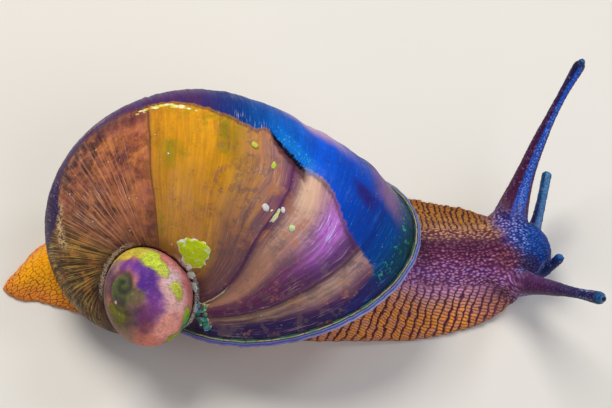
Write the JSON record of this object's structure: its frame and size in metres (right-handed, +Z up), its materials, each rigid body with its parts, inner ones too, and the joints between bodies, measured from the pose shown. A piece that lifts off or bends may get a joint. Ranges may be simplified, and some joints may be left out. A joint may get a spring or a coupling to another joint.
{
  "type": "live land snail",
  "caption": "Large crawling land snail with a glossy striped spiral shell, long upper feelers, short lower feelers and a spread foot; a still, life-size model.",
  "frame": {"origin": "middle of the model's box in X and Y, on the floor that the sole rests on", "axes": "+X the way the snail crawls, +Y its left side, +Z up"},
  "size_m": [0.1254, 0.057, 0.0434],
  "materials": {
    "shell": "glossy horn-brown shell with purple and blue bands",
    "spire": "smooth worn young shell, violet to salmon",
    "lip": "satin lavender lip with a pale inner line",
    "skin": "moist granular skin, maroon above and ochre on the flanks",
    "eye": "wet black eye"
  },
  "bodies": {
    "root": {"shell_body_whorl": "shell", "shell_spire": "spire", "shell_lip": "lip", "mantle_collar": "skin", "trunk": "skin", "foot": "skin", "tail": "skin", "neck": "skin", "head": "skin", "tentacle_upper_left": "skin", "tentacle_upper_right": "skin", "tentacle_lower_left": "skin", "tentacle_lower_right": "skin", "eye_left": "eye", "eye_right": "eye"}
  },
  "joints": []
}
